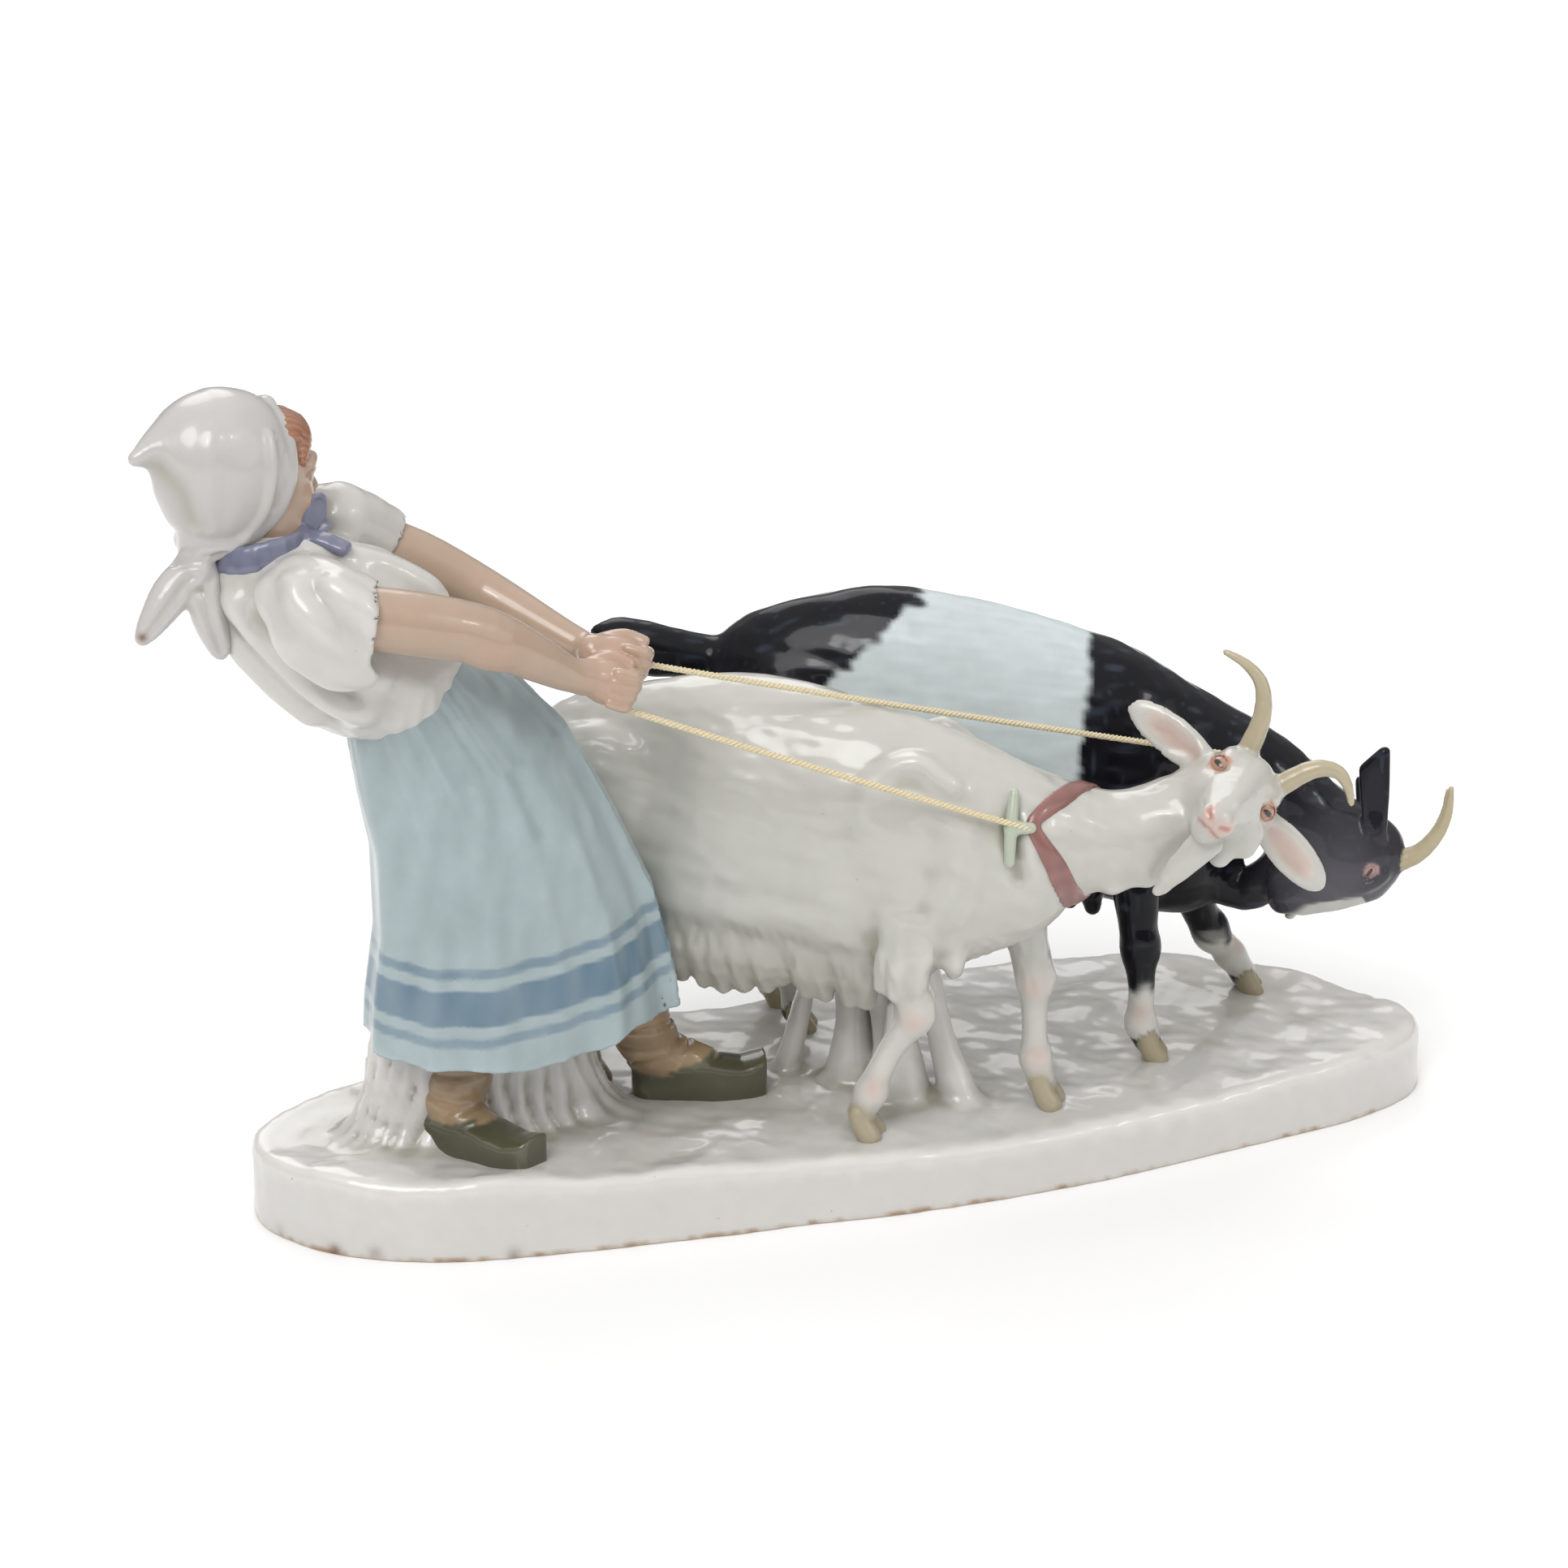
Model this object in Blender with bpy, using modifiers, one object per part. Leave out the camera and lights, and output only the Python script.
"""Porcelain group on an oval base: a girl leans back and holds two goats on twine leads.

Lengths are in metres. X runs along the base towards the goats' heads, Y runs away from
the front of the group, and Z runs up from the underside of the base.

Each figure is drawn in units of its own height, so a unit is about a millimetre. A
figure's table of stations gives x forward, y to its left, z above the ground and,
where a fourth number follows, the radius there.
"""
import math

import bmesh
import bpy
from mathutils import Matrix, Vector
from mathutils.bvhtree import BVHTree

# Driving dimensions
BASE_LENGTH = 0.372
BASE_WIDTH = 0.128
BASE_HEIGHT = 0.0205
GIRL_HEIGHT = 0.2325
WHITE_GOAT_HEIGHT = 0.132
BLACK_GOAT_HEIGHT = 0.1435
TWINE_DIAMETER = 0.0021
LEAD_SAG = 0.0008
LEAD_POINTS = 16
RIM_RAYS = 8
SEAT_GAP = 0.0003

# Where each figure stands, as shares of half the base's length and width
GIRL_PLACE = (-0.5376, -0.1875)
WHITE_GOAT_PLACE = (-0.1075, -0.1797)
BLACK_GOAT_PLACE = (0.2366, 0.3203)
WHITE_GOAT_HEADING = math.radians(-35.3)
BLACK_GOAT_HEADING = math.radians(-22.8)

# Heights that the tables below are drawn at
GIRL_UNITS = 232.5
WHITE_GOAT_UNITS = 132.0
BLACK_GOAT_UNITS = 143.5

# Surface of the casting
VOXEL_SIZE = 0.0015
SMOOTHING_STEPS = 2
CASTING_TRIANGLES = 10500
SINK = 0.004
RIM_ROUND = 0.003
WALL_TOP = 0.006
HORN_RADIUS = 3.4
TOP_SWELL = 0.0008

GLAZE = (0.82, 0.82, 0.79, 1.0)
TWINE = (0.78, 0.62, 0.38, 1.0)

# Outline of the base as shares of half its length and half its width
BASE_OUTLINE = [
    (1.00, -0.45), (0.975, -0.10), (0.90, 0.22), (0.78, 0.58), (0.65, 0.82), (0.52, 0.96),
    (0.32, 1.00), (0.10, 0.97), (-0.18, 0.92), (-0.44, 0.82), (-0.68, 0.62), (-0.87, 0.38),
    (-0.98, 0.14), (-1.00, -0.08), (-0.975, -0.30), (-0.90, -0.57), (-0.76, -0.78),
    (-0.54, -0.90), (-0.22, -0.98), (0.06, -1.04), (0.32, -1.02), (0.56, -0.93),
    (0.79, -0.82), (0.93, -0.68)]

# Height of the rim above or below the ground between the figures, at x shares of the base
RIM_RISE = [(-1.0, 0.0045), (-0.7, 0.005), (-0.45, 0.003), (-0.1, 0.0), (0.3, -0.002), (0.7, 0.0),
            (0.9, 0.002), (1.0, 0.001)]


def smooth_path(stations, steps=5, closed=False):
    """Points of a smooth curve through the stations, radii included."""
    last = len(stations) - 1
    spans = last + 1 if closed else last
    path = []
    for i in range(spans):
        around = (i - 1, i, i + 1, i + 2)
        if closed:
            a, b, c, d = (stations[k % (last + 1)] for k in around)
        else:
            a, b, c, d = (stations[min(max(k, 0), last)] for k in around)
        for step in range(steps):
            t = step / steps
            path.append(tuple(
                q + 0.5 * t * (r - p + t * (2 * p - 5 * q + 4 * r - s + t * (3 * (q - r) + s - p)))
                for p, q, r, s in zip(a, b, c, d)))
    if not closed:
        path.append(tuple(stations[last]))
    return path


def table_value(table, x):
    """Value at x between the rows of a table of (x, value)."""
    if x <= table[0][0]:
        return table[0][1]
    for (x0, v0), (x1, v1) in zip(table, table[1:]):
        if x <= x1:
            return v0 + (v1 - v0) * (x - x0) / (x1 - x0)
    return table[-1][1]


def add_ring(bm, points):
    return [bm.verts.new(point) for point in points]


def add_loft(bm, rings):
    """Closed body through rings with the same number of points, bottom ring first."""
    loops = [add_ring(bm, ring) for ring in rings]
    count = len(loops[0])
    for low, high in zip(loops, loops[1:]):
        for i in range(count):
            j = (i + 1) % count
            bm.faces.new((low[i], low[j], high[j], high[i]))
    bm.faces.new(list(reversed(loops[0])))
    bm.faces.new(loops[-1])


class Figure:
    """Closed forms that overlap and are fused into the casting."""

    def __init__(self, place, heading, unit):
        across, back = place[0] * BASE_LENGTH / 2, place[1] * BASE_WIDTH / 2
        ground = Matrix.Translation((across, back, BASE_HEIGHT))
        self.matrix = ground @ Matrix.Rotation(heading, 4, "Z") @ Matrix.Scale(unit, 4)
        self.forms = bmesh.new()
        ball = bmesh.new()
        bmesh.ops.create_uvsphere(ball, u_segments=20, v_segments=12, radius=1)
        self.ball = bpy.data.meshes.new("ball")
        ball.to_mesh(self.ball)
        ball.free()
        self.limbs = []

    def at(self, x, y, z):
        return self.matrix @ Vector((x, y, z))

    def oval(self, centre, radii, along=(1, 0, 0), up=(0, 0, 1)):
        """Ellipsoid whose first radius lies along one direction and third near another."""
        x = Vector(along).normalized()
        y = Vector(up).cross(x).normalized()
        z = x.cross(y)
        axes = Matrix((x, y, z)).transposed().to_4x4()
        size = Matrix.Diagonal((*radii, 1))
        ball = self.ball.copy()
        ball.transform(self.matrix @ Matrix.Translation(centre) @ axes @ size)
        self.forms.from_mesh(ball)
        bpy.data.meshes.remove(ball)

    def leaf(self, base, tip, width, thickness, up=(0, 0, 1)):
        """Flat pointed form between two points, such as an ear or a cloth end."""
        base, tip = Vector(base), Vector(tip)
        along = tip - base
        self.oval((base + tip) / 2, (along.length / 2, width / 2, thickness / 2), along, up)

    def limb(self, *stations):
        """Round tapering form through stations of x, y, z and radius."""
        self.limbs.append(smooth_path(stations))
        for x, y, z, radius in (stations[0], stations[-1]):
            self.oval((x, y, z), (radius, radius, radius))

    def loft(self, rings):
        add_loft(self.forms, [[self.matrix @ Vector(point) for point in ring] for ring in rings])

    def frame(self, centre, along, up):
        """A figure's head or trunk as a frame of its own: points are turned and moved."""
        x = Vector(along).normalized()
        y = Vector(up).cross(x).normalized()
        z = x.cross(y)
        return Matrix.Translation(centre) @ Matrix((x, y, z)).transposed().to_4x4()


def solid_of_limbs(name, figure):
    """The limbs of a figure as one mesh of capped tubes."""
    curve = bpy.data.curves.new(name, "CURVE")
    curve.dimensions = "3D"
    curve.bevel_depth = 1.0
    curve.bevel_resolution = 3
    curve.use_fill_caps = True
    unit = figure.matrix.to_scale().x
    for path in figure.limbs:
        spline = curve.splines.new("POLY")
        spline.points.add(len(path) - 1)
        for point, (x, y, z, radius) in zip(spline.points, path):
            point.co = (*(figure.matrix @ Vector((x, y, z))), 1)
            point.radius = radius * unit
    obj = bpy.data.objects.new(name, curve)
    helpers.objects.link(obj)
    evaluated = obj.evaluated_get(bpy.context.evaluated_depsgraph_get())
    mesh = bpy.data.meshes.new_from_object(evaluated)
    bpy.data.objects.remove(obj)
    return mesh


def base_form():
    """Oval plinth with an upright wall, a rounded rim and a slightly uneven top."""
    outline = smooth_path(BASE_OUTLINE, steps=4, closed=True)
    half_x, half_y = BASE_LENGTH / 2, BASE_WIDTH / 2

    def ring(share, drop):
        points = []
        for u, v in outline:
            rise = table_value(RIM_RISE, u) * min(1, share ** 6)
            swell = TOP_SWELL * math.sin(9 * u + 4 * v) * min(1, share)
            level = BASE_HEIGHT + rise + swell - drop
            points.append((u * half_x * share, v * half_y * share, level))
        return points

    def foot(level, inset):
        return [(u * half_x * inset, v * half_y * inset, level) for u, v in outline]

    form = bmesh.new()
    add_loft(form, [
        foot(-SINK, 0.99), foot(0, 0.995), ring(1.0, WALL_TOP), ring(0.998, RIM_ROUND / 2),
        ring(0.985, RIM_ROUND / 5), ring(0.96, 0), ring(0.9, 0), ring(0.8, 0), ring(0.6, 0),
        ring(0.3, 0), ring(0.02, 0)])
    return form


def skirt(girl):
    """Long skirt that hangs from the waist and swings out over the stance."""
    levels = [
        # x, y, z, half length, half width, tilt, fold depth
        (-40, -2, 153, 17, 15, 30, 0.0),
        (-34, -2, 141, 22, 18, 27, 0.2),
        (-23, -2, 121, 31, 22, 14, 0.6),
        (-15, -2, 100, 36, 24, 6, 1.1),
        (-8, -1, 73, 42.5, 26.5, 2, 1.6),
        (-6, 0, 49, 47.5, 28.5, -2, 2.0),
        (-5.5, 0, 34, 49, 29.5, -3, 2.2),
        (-5.5, 0, 31, 45, 26, -3, 1.5)]
    heading = math.radians(9)
    count = 48
    rings = []
    for x, y, z, half_length, half_width, tilt, fold in reversed(smooth_path(levels, steps=3)):
        slope = math.tan(math.radians(tilt))
        ring = []
        for i in range(count):
            turn = math.tau * i / count
            wave = fold * (math.cos(7 * turn + 0.6) + 0.6 * math.cos(11 * turn + 2.0))
            along = (half_length + wave) * math.cos(turn)
            across = (half_width + wave) * math.sin(turn)
            ring.append((
                x + along * math.cos(heading) - across * math.sin(heading),
                y + along * math.sin(heading) + across * math.cos(heading),
                z + along * slope))
        rings.append(ring)
    girl.loft(rings)


def grass_support(girl):
    """Fluted tuft of grass that fills the space under the skirt and spreads on the ground."""
    blades = 26
    for i in range(blades):
        turn = math.tau * i / blades
        reach = 1.0 + 0.12 * math.sin(5 * turn)
        top = (-16 + 29 * math.cos(turn), 7 + 13 * math.sin(turn), 38, 4.5)
        middle = (-17 + 34 * math.cos(turn), 8 + 14 * math.sin(turn), 18, 3.8)
        foot = (-17 + 45 * reach * math.cos(turn), 9 + 18 * reach * math.sin(turn), -1, 3.4)
        girl.limb(top, middle, foot)
    girl.oval((-16, 8, 16), (36, 15, 28))


def clog(girl, heel, toe, ankle, calf):
    """Wooden clog with an upturned blunt toe, and the stocking above it."""
    heel, toe = Vector(heel), Vector(toe)
    along = (toe - heel).normalized()
    middle = heel + (toe - heel) * 0.5
    up = Vector((0, 0, 1))
    girl.limb(
        (*(heel + along * 5 + up * 4.5), 6.2),
        (*(middle + up * 4), 6.6),
        (*(toe - along * 9 + up * 4.8), 6.6),
        (*(toe - along * 4 + up * 8), 4.4))
    girl.oval(middle + up * 1.5, ((toe - heel).length / 2 - 1, 7.4, 3.2), along)
    instep = heel + along * 21 + up * 10
    girl.limb((*calf, 8.2), (*ankle, 7.0), (*instep, 6.2))


def girl_trunk(girl):
    """Blouse that blouses out over the waist, with its short puffed sleeves."""
    girl.limb((-42, -2, 147, 20), (-56, -1, 156, 22), (-67, 0, 168, 21.5), (-76, 1, 180, 16.5),
              (-76, 2, 190, 11))
    girl.oval((-60, -8, 154), (19, 15, 14), (-0.6, 0, 1))
    girl.oval((-38, -3, 150), (24, 15, 7), (1, 0, 0.5), (-0.5, 0, 1))
    girl.limb((-70, -19, 179, 12), (-65, -26, 177, 13), (-58, -30, 175, 11))
    girl.limb((-48, 18, 184, 12), (-43, 23, 182, 11.5), (-38, 25, 180, 9.5))
    girl.leaf((-50, -14, 182), (-26, -14, 172), 22, 8, (0.5, 0, 1))
    girl.leaf((-52, 8, 192), (-26, -4, 176), 26, 12, (0.5, 0.2, 1))


def girl_arms(girl):
    """Both arms reach forward and their fists close on the leads."""
    girl.limb((-62, -30, 176, 9), (-42, -33, 172, 9.4), (-23, -34, 167, 8.8), (-10, -32, 159, 7.2),
              (0, -30, 152.5, 5.8), (7, -28.5, 149, 5.2))
    girl.oval((13, -27, 147), (8.6, 6.8, 8), (1, 0.1, -0.35))
    girl.limb((-42, 25, 181, 8), (-28, 22, 174, 8.4), (-10, 14, 164, 7.4), (6, -4, 155.5, 5.6),
              (14, -12, 151.5, 5))
    girl.oval((20, -16, 150), (8.4, 6.4, 7.4), (1, -0.1, -0.35))
    fingers = 4
    for i in range(fingers):
        knuckle = (15 + 1.2 * i, -33, 151 - 3.4 * i, 2.2)
        tip = (19.5 + 0.8 * i, -29, 149.5 - 3.2 * i, 2.2)
        girl.limb(knuckle, tip)


def girl_head(girl):
    """Head in a kerchief that is knotted behind the neck, with a scarf round the neck."""
    head = girl.frame((-86.5, 6, 207), (0.95, 0.30, -0.08), (0.06, 0.0, 1.0))

    turn = head.to_3x3()
    forward, sideways, upward = (turn @ Vector(axis) for axis in ((1, 0, 0), (0, 1, 0), (0, 0, 1)))

    def spot(x, y, z, *radius):
        return (*(head @ Vector((x, y, z))), *radius)

    def swell(centre, radii):
        girl.oval(spot(*centre), radii, forward, upward)

    # Skull, jaw, nose, mouth, chin and hair over the forehead
    swell((4, 0, 0), (19, 16.5, 20.5))
    swell((6, 0, -9), (14.5, 13, 12))
    swell((23, 0, -3.5), (3.2, 1.9, 2.6))
    for side in (-1, 1):
        swell((20, 5.6 * side, 1.6), (1.6, 2.4, 1.4))
        swell((15, 8.5 * side, -6.5), (5.5, 5, 5))
    swell((20.5, 0, -9.2), (1.8, 3.6, 1.7))
    swell((17.5, 0, -14.5), (4.2, 4.6, 3.6))
    swell((12, 0, 12), (11.5, 14, 7.5))
    # Kerchief: crown, drawn-out back corner, brim and the folds towards the knot
    swell((-1, 0, 3.5), (19, 19, 22.5))
    swell((5, 0, 4), (14, 16.5, 19.5))
    girl.limb(spot(-6, 0, 8, 15.5), spot(-17, 1, 9, 8), spot(-26.5, 1, 8, 2.6))
    for side in (-1, 1):
        girl.limb(spot(13, 0, 20.5, 2.4), spot(16.5, 9 * side, 15, 2.4), spot(18, 12.5 * side, 7, 2.4),
                  spot(16, 14 * side, -1, 2.6), spot(11, 14.5 * side, -9, 2.8), spot(2, 12 * side, -15, 3.2),
                  spot(-7, 7 * side, -18, 4))
        girl.limb(spot(5, 16.8 * side, 14, 2), spot(4, 18 * side, 6, 2.4), spot(3, 16.6 * side, -4, 2))
        girl.limb(spot(-12, 13 * side, 14, 2), spot(-13, 14.5 * side, 4, 2.6), spot(-11, 9 * side, -12, 3))
    girl.oval((-92, 3, 189), (8, 8, 9.5), (0.3, 0, 1), sideways)
    girl.oval((-95, 1, 181), (7.5, 7, 7), (1, 0, 0))
    girl.limb((-97, 0, 184, 6.2), (-104, -2, 178, 6), (-110, -4, 171, 4), (-113, -5, 167.5, 2.4))
    girl.limb((-95, -2, 180, 5.4), (-94, -4, 171, 5), (-92, -5, 163, 3), (-91.5, -5, 160.5, 1.8))
    # Neck, scarf and bow
    girl.limb((-72, 3, 186, 10), (-77, 4, 195, 9.6))
    scarf_steps = 18
    around = [math.tau * i / scarf_steps for i in range(scarf_steps + 1)]
    girl.limb(*[(-74.5 + 10.2 * math.cos(a), 3 + 12.2 * math.sin(a), 191.5 + 4.5 * math.cos(a), 3.1)
                for a in around])
    girl.oval((-62, 5, 195), (3, 3.4, 3.2))
    girl.leaf((-61, 4, 196), (-58, -2, 203), 7, 4, (1, 0, 0.6))
    girl.leaf((-61, 6, 196), (-56, 12, 201), 7, 4, (1, 0, 0.6))
    girl.leaf((-61, 1, 193), (-54, -9, 182), 7, 4, (1, 0, 0.6))


def goat_trunk(goat, sections, fringe):
    """Goat's body as a loft of egg-shaped sections from the rump to the chest."""
    count = 28
    rings = []
    for x, y, top, bottom, half_width in smooth_path(sections, steps=3):
        middle, half_height = (top + bottom) / 2, (top - bottom) / 2
        ring = []
        for i in range(count):
            turn = math.tau * i / count
            low = max(0.0, -math.sin(turn))
            wave = fringe * low * math.cos(0.55 * x + 2.0 * math.cos(turn))
            width = half_width * (1 + 0.10 * low)
            ring.append((x, y + width * math.cos(turn), middle + half_height * math.sin(turn) - wave))
        rings.append(ring)
    goat.loft(rings)


def goat_leg(goat, *stations):
    """Leg through its joints, ending in a split hoof whose point looks forward."""
    goat.limb(*stations)
    x, y = stations[-1][:2]
    for side in (-1, 1):
        goat.limb((x + 0.5, y + 3.3 * side, 4.5, 3.6), (x + 2.5, y + 3.6 * side, 0.5, 4.0))


def goat_head(goat, centre, muzzle_way, crown_way, ears, horns, beard):
    """Goat's head in a frame of its own: x to the muzzle, z to the forehead."""
    head = goat.frame(centre, muzzle_way, crown_way)
    turn = head.to_3x3()
    forward, sideways, upward = (tuple(turn @ Vector(axis)) for axis in ((1, 0, 0), (0, 1, 0), (0, 0, 1)))

    def spot(x, y, z, *radius):
        return (*(head @ Vector((x, y, z))), *radius)

    goat.oval(spot(0, 0, 0), (14, 11.5, 12.5), forward, upward)
    goat.limb(spot(2, 0, 1, 11.5), spot(12, 0, -1, 9.5), spot(21, 0, -3, 7.4), spot(27, 0, -4.5, 6.2))
    goat.limb(spot(0, 0, -7, 8), spot(12, 0, -9, 6), spot(22, 0, -9.5, 4.6))
    for side in (-1, 1):
        goat.oval(spot(5, 9.4 * side, 4), (3.6, 2.4, 2.8), forward, upward)
        goat.oval(spot(28.5, 3.2 * side, -3), (2.6, 1.6, 2.2), forward, upward)
    for side, reach in ears:
        goat.leaf(spot(-4, 9 * side, 0), spot(*reach), 11, 3.4, forward)
    for horn in horns:
        taper = [HORN_RADIUS * (1 - 0.68 * i / (len(horn) - 1)) for i in range(len(horn))]
        goat.limb(*[(*point, radius) for point, radius in zip(horn, taper)])
    goat.limb(*beard)


def strap(goat, points, thickness=1.9):
    """Collar laid round a goat's neck through hand-placed points."""
    goat.limb(*[(*point, thickness) for point in points + points[:1]])


def white_goat():
    """Front goat: it braces its forelegs and turns its face to the front of the group."""
    goat = Figure(WHITE_GOAT_PLACE, WHITE_GOAT_HEADING, WHITE_GOAT_HEIGHT / WHITE_GOAT_UNITS)
    goat_trunk(goat, [
        # x, y, top, bottom, half width
        (-84, 3, 100, 78, 6), (-80, 3, 111, 66, 14), (-70, 3, 119, 52, 19), (-50, 2, 125, 42, 22),
        (-20, 1, 131, 38, 25), (5, 0, 130, 38, 26), (28, -3, 126, 42, 25), (50, -3, 120, 48, 22),
        (68, -3, 112, 56, 17.5), (80, -3, 104, 64, 14), (86, -2, 96, 72, 6)], 3.0)
    goat.limb((45, -3, 100, 17), (70, 0, 91, 18), (92, 7, 89, 15.5), (109, 14, 94, 14.5), (124, 19, 101, 13))
    goat.oval((42, -15, 92), (17, 8, 24))
    goat.oval((41, -16, 66), (11, 9, 18))
    goat.oval((-58, -13, 92), (19, 10, 24))
    goat_leg(goat, (42, -17, 66, 9), (40, -21, 52, 7.2), (43, -22, 39, 5.6), (36, -24, 26, 4.2),
             (31, -25, 14, 4.8), (28, -26, 6, 5.0))
    goat_leg(goat, (66, 8, 66, 9), (70, 10, 52, 6.6), (72, 11, 40, 5.4), (72.5, 11, 26, 4.2),
             (73, 11, 15, 4.8), (75, 11, 6, 5.0))
    goat_leg(goat, (-60, -10, 74, 12), (-54, -12, 58, 8), (-70, -12, 40, 5.2), (-64, -12, 20, 4.4),
             (-62, -12, 6, 5))
    goat_leg(goat, (-62, 15, 74, 12), (-62, 17, 58, 8), (-78, 18, 40, 5.2), (-74, 18, 20, 4.4),
             (-72, 18, 6, 5))
    goat.limb((-80, 3, 108, 6), (-90, 4, 104, 5), (-95, 5, 94, 3))
    # Hair curtain under the belly
    locks = 13
    for i in range(locks):
        x = -58 + 6.6 * i
        goat.limb((x, -20, 50, 4.5), (x + 1, -16, 40 + 2 * math.sin(2.1 * i), 3.4))
    goat_head(goat, (133, 20, 105), (0.08, -0.98, 0.16), (0.65, 0.17, 0.70),
              [(1, (-9, 37, -10)), (-1, (-9, -37, -10))],
              [[(134.6, 24, 116), (136.4, 25, 125), (135, 26, 133), (130.4, 26, 139), (123.8, 26, 142.5)],
               [(144, 22, 106), (152, 23, 110.2), (158, 24, 109.4), (161.6, 24, 105.2),
                (162.9, 24, 99.8)]],
              [(124, -5, 95, 4.6), (119, -6, 86, 4.8), (113.5, -5, 77.5, 3.4), (110.5, -4, 72, 1.8)])
    strap(goat, [(85, 5, 106), (78, -9, 103), (75, -16, 98.5), (80, -13.5, 91), (85, -8, 80), (89, 3, 74),
                 (91, 14, 77), (92, 21, 88), (90, 17, 99)])
    goat.limb((71, -15, 107, 1.9), (71, -16.5, 90, 1.9))
    goat.oval((73, -15.5, 98.5), (4, 3, 3.4))
    # Grass under the belly carries the body
    goat.limb((24, 8, 40, 5), (30, 6, 20, 6), (33, 2, 0, 9))
    goat.limb((14, 12, 40, 5), (16, 12, 20, 5), (16, 12, 0, 8))
    goat.limb((38, 10, 40, 5), (44, 8, 20, 4), (52, 4, -1, 5))
    goat.limb((4, 10, 42, 3), (0, 12, 24, 2.6), (-6, 14, 0, 3))
    return goat


def black_goat():
    """Rear goat: its back is arched and its head is tucked to its chest."""
    goat = Figure(BLACK_GOAT_PLACE, BLACK_GOAT_HEADING, BLACK_GOAT_HEIGHT / BLACK_GOAT_UNITS)
    goat_trunk(goat, [
        (-78, 1, 116, 92, 6), (-74, 1, 124, 80, 12), (-64, 1, 133, 66, 18), (-44, 0, 140, 54, 22),
        (-19, 0, 143.5, 46, 24), (6, 0, 140, 46, 24), (26, 0, 135, 46, 23.5), (46, 0, 128, 44, 22),
        (62, -1, 118, 40, 19), (76, -2, 106, 40, 14), (84, -2, 96, 46, 7)], 2.4)
    goat.limb((48, 0, 105, 20), (72, -2, 94, 18), (94, -5, 85, 15.5), (109, -7, 74, 14), (121, -10, 66, 13))
    goat.oval((55, -15, 82), (15, 9, 26))
    goat.oval((-50, -12, 96), (19, 11, 26))
    goat_leg(goat, (57, -16, 62, 9), (58, -20, 48, 7), (59, -22, 35, 5.8), (60, -24, 22, 4.4),
             (60, -25, 12, 4.8), (62, -25.5, 6, 5.0))
    goat_leg(goat, (70, 12, 56, 9), (77, 17, 38, 6.6), (83, 21, 24, 5.4), (90, 25, 15, 4.8), (95, 28, 6, 5.0))
    goat_leg(goat, (-50, -8, 76, 13), (-40, -9, 56, 8), (-52, -8, 38, 5), (-49, -8, 18, 4.4), (-48, -8, 6, 5))
    goat_leg(goat, (-54, 12, 76, 13), (-46, 13, 56, 8), (-62, 13, 38, 5), (-58, 13, 18, 4.4), (-57, 13, 6, 5))
    goat.limb((-74, 1, 120, 7), (-88, 1, 122, 7.5), (-102, 1, 126, 6.5), (-109, 1, 127, 3.5))
    locks = 10
    for i in range(locks):
        x = -34 + 8 * i
        goat.limb((x, -16, 56, 5), (x + 1, -12, 46 + 2 * math.sin(1.9 * i), 3.6))
    goat_head(goat, (127, -12, 63), (-0.78, -0.20, -0.58), (0.62, -0.24, -0.75),
              [(-1, (-22, -18, -26)), (1, (-22, 18, -26))],
              [[(136, -16, 62), (143.5, -16.5, 65.5), (149, -17, 72), (151.8, -17.5, 79.5),
                (152.4, -18, 87.4)],
               [(136, -6, 59), (143.5, -4.5, 61), (149, -3, 67), (151.8, -2, 74), (152.4, -1.5, 81.5)]],
              [(108, -14, 50, 4), (106, -13, 45, 3.2), (104.5, -12, 41, 1.8)])
    goat.limb((82, 4, 50, 7), (92, -2, 44, 6.5), (100, -6, 54, 7))
    strap(goat, [(94, -4, 101), (89, -14, 99), (87, -20, 94), (86, -22, 87), (86, -18, 76), (86, -6, 68),
                 (87, 9, 74), (89, 13, 86), (92, 7, 97)])
    goat.oval((87, -20.5, 95), (3.2, 2.6, 3.2))
    return goat


def girl_figure():
    girl = Figure(GIRL_PLACE, 0.0, GIRL_HEIGHT / GIRL_UNITS)
    skirt(girl)
    grass_support(girl)
    clog(girl, (-43, -3, 0), (-5, -26, 0), (-27, -9, 17), (-25, -4, 34))
    clog(girl, (32, 12, 0), (72, 3, 0), (39, 12, 14), (30, 9, 34))
    girl_trunk(girl)
    girl_arms(girl)
    girl_head(girl)
    return girl


def casting(figures):
    """All figures and the base fused, smoothed and reduced to one fired piece."""
    joined = base_form()
    for number, figure in enumerate(figures):
        part = bpy.data.meshes.new("forms")
        figure.forms.to_mesh(part)
        figure.forms.free()
        for mesh in (part, solid_of_limbs(f"limbs_{number}", figure)):
            joined.from_mesh(mesh)
            bpy.data.meshes.remove(mesh)
    bmesh.ops.remove_doubles(joined, verts=joined.verts, dist=1e-7)
    mesh = bpy.data.meshes.new("porcelain_group")
    joined.to_mesh(mesh)
    joined.free()
    obj = bpy.data.objects.new("porcelain_group", mesh)
    parts.objects.link(obj)
    fuse = obj.modifiers.new("fuse", "REMESH")
    fuse.mode = "VOXEL"
    fuse.voxel_size = VOXEL_SIZE
    soften = obj.modifiers.new("soften", "SMOOTH")
    soften.factor = 0.6
    soften.iterations = SMOOTHING_STEPS
    settle(obj)
    reduce = obj.modifiers.new("reduce", "DECIMATE")
    reduce.use_collapse_triangulate = True
    reduce.ratio = CASTING_TRIANGLES / sum(len(face.vertices) - 2 for face in obj.data.polygons)
    settle(obj)
    cut_underside(obj)
    return obj


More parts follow.
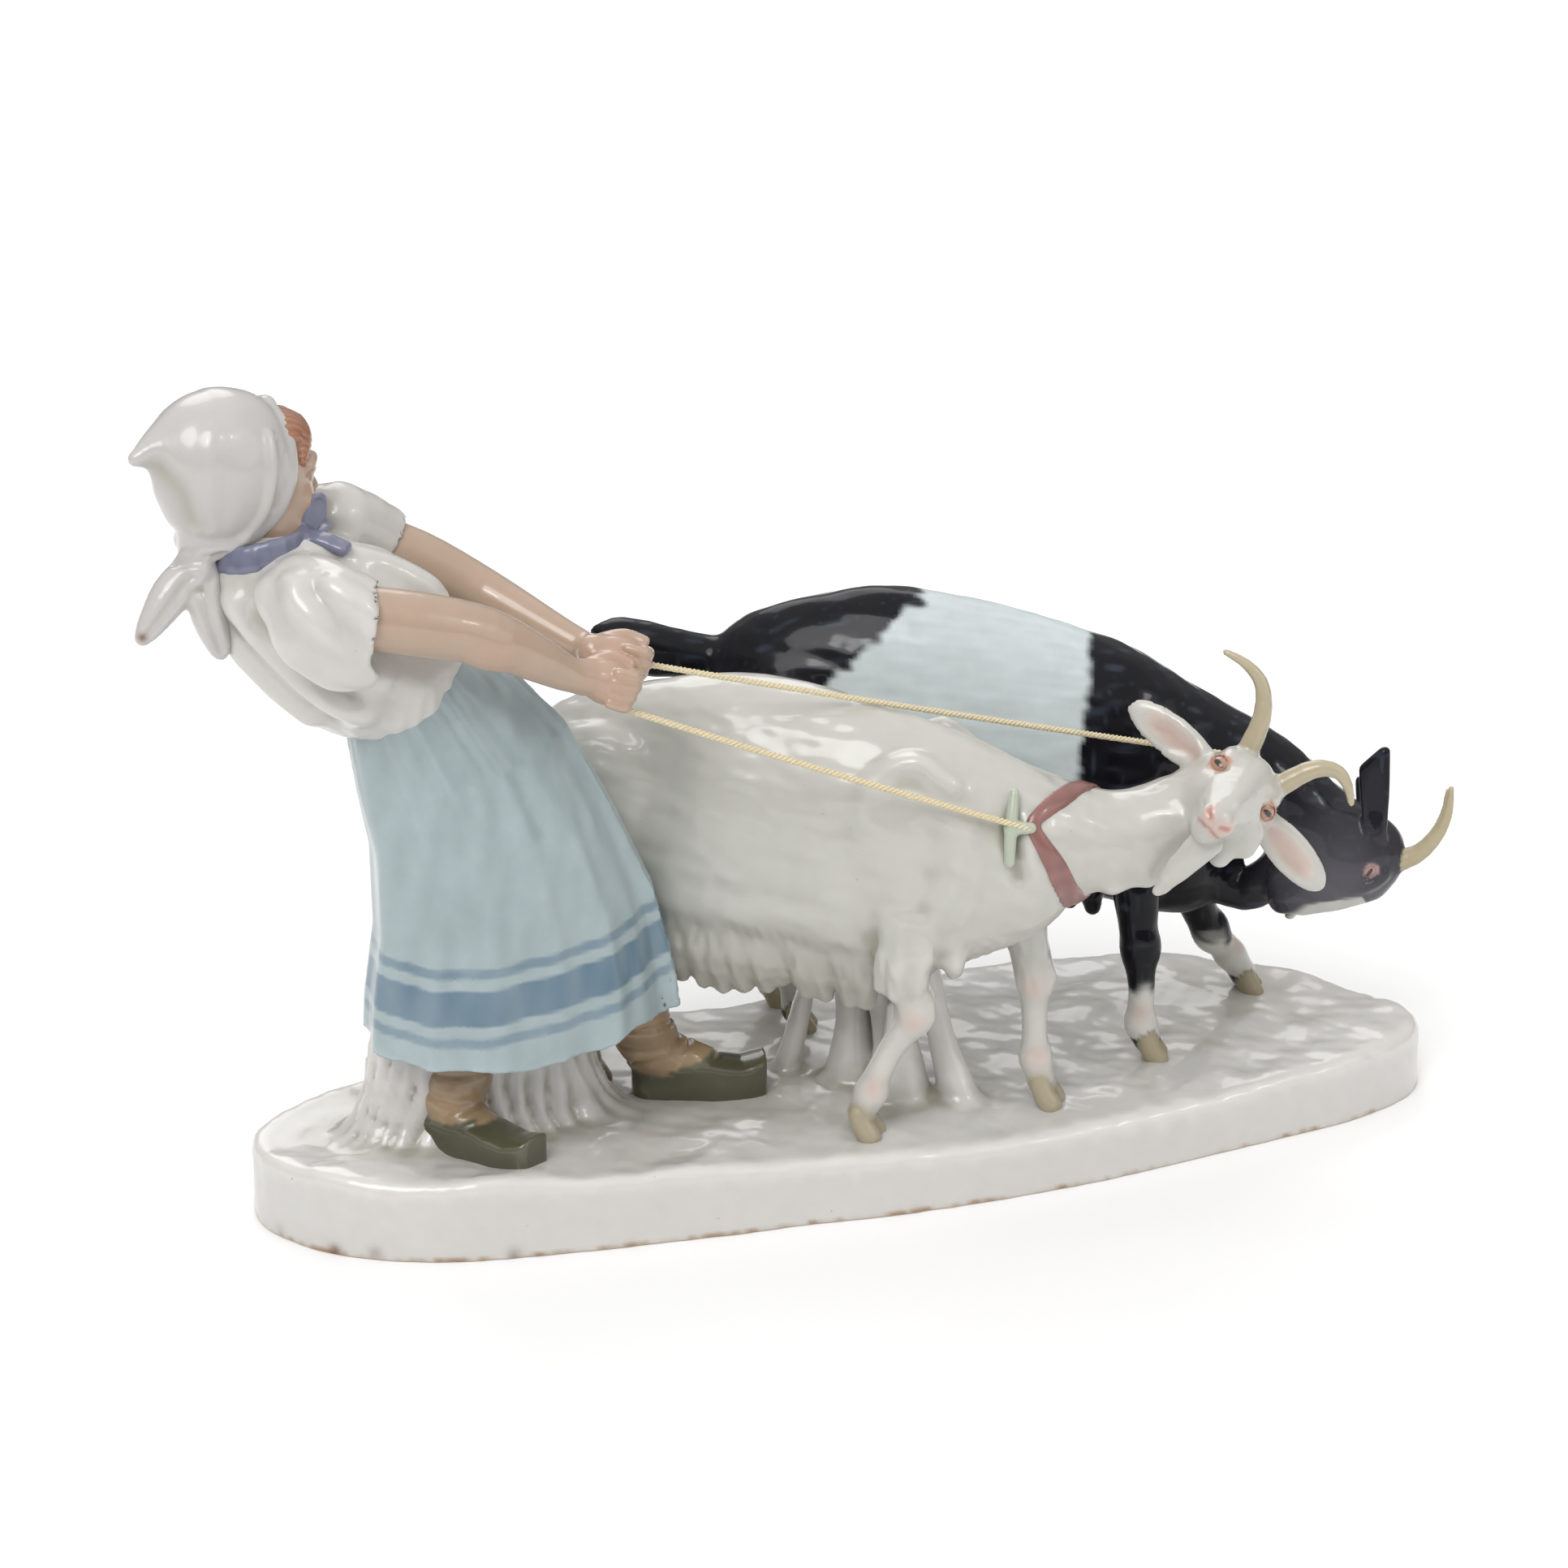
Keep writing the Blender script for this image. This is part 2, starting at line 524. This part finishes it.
def settle(obj):
    """Replace the object's mesh by what its modifiers make of it."""
    evaluated = obj.evaluated_get(bpy.context.evaluated_depsgraph_get())
    mesh = bpy.data.meshes.new_from_object(evaluated)
    old = obj.data
    obj.modifiers.clear()
    obj.data = mesh
    bpy.data.meshes.remove(old)
    mesh.name = obj.name


def cut_underside(obj):
    """Grind the foot of the casting flat at z = 0."""
    form = bmesh.new()
    form.from_mesh(obj.data)
    cut = bmesh.ops.bisect_plane(form, geom=form.verts[:] + form.edges[:] + form.faces[:], dist=1e-6,
                                 plane_co=(0, 0, 0), plane_no=(0, 0, -1), clear_outer=True)
    rim = [item for item in cut["geom_cut"] if isinstance(item, bmesh.types.BMEdge)]
    bmesh.ops.contextual_create(form, geom=rim)
    bmesh.ops.triangulate(form, faces=form.faces[:])
    bmesh.ops.recalc_face_normals(form, faces=form.faces[:])
    form.to_mesh(obj.data)
    form.free()


def free_length(tree, start, end, radius):
    """Ends of a lead between two anchors, each a seat gap away from the casting."""
    start, end = Vector(start), Vector(end)
    middle = (start + end) / 2
    side = (end - start).cross(Vector((0, 0, 1))).normalized()
    ends = []
    for anchor in (start, end):
        way = (anchor - middle).normalized()
        lift = side.cross(way)
        reach = (anchor - middle).length
        starts = [middle]
        for i in range(RIM_RAYS):
            turn = math.tau * i / RIM_RAYS
            starts.append(middle + 1.15 * radius * (math.cos(turn) * side + math.sin(turn) * lift))
        for origin in starts:
            hit = tree.ray_cast(origin, way, 1.5 * reach)[0]
            if hit is not None:
                reach = min(reach, (hit - origin).dot(way) - SEAT_GAP)
        ends.append(middle + way * reach)
    return ends


def lead(name, ends):
    """Taut twine between its two ends."""
    curve = bpy.data.curves.new(name, "CURVE")
    curve.dimensions = "3D"
    curve.bevel_depth = TWINE_DIAMETER / 2
    curve.bevel_resolution = 2
    curve.use_fill_caps = True
    spline = curve.splines.new("POLY")
    spline.points.add(LEAD_POINTS - 1)
    start, end = ends
    for i, point in enumerate(spline.points):
        share = i / (LEAD_POINTS - 1)
        sag = LEAD_SAG * 4 * share * (1 - share)
        point.co = (*(start.lerp(end, share) - Vector((0, 0, sag))), 1)
    obj = bpy.data.objects.new(name, curve)
    parts.objects.link(obj)
    return obj


def material(name, colour, roughness, coat):
    mat = bpy.data.materials.new(name)
    mat.use_nodes = True
    shader = mat.node_tree.nodes["Principled BSDF"]
    shader.inputs["Base Color"].default_value = colour
    shader.inputs["Roughness"].default_value = roughness
    shader.inputs["Metallic"].default_value = 0.0
    shader.inputs["Coat Weight"].default_value = coat
    return mat


def main():
    girl, white, black = girl_figure(), white_goat(), black_goat()
    fist_low, fist_high = girl.at(16, -28, 140.5), girl.at(26, -15, 148.5)
    white_ring, black_ring = white.at(76, -19, 98.5), black.at(87, -20, 98.5)
    group = casting([girl, white, black])
    group.data.materials.append(material("glazed_porcelain", GLAZE, 0.15, 0.5))
    tree = BVHTree.FromObject(group, bpy.context.evaluated_depsgraph_get())
    twine = material("cream_twine", TWINE, 0.85, 0.0)
    radius = TWINE_DIAMETER / 2
    leads = (("lead_white_goat", fist_low, white_ring), ("lead_black_goat", fist_high, black_ring))
    for name, start, end in leads:
        lead(name, free_length(tree, start, end, radius)).data.materials.append(twine)


for old in list(bpy.context.scene.objects):
    bpy.data.objects.remove(old)
parts = bpy.data.collections.new("porcelain_shepherdess")
helpers = bpy.data.collections.new("helpers")
for collection in (parts, helpers):
    bpy.context.scene.collection.children.link(collection)
main()
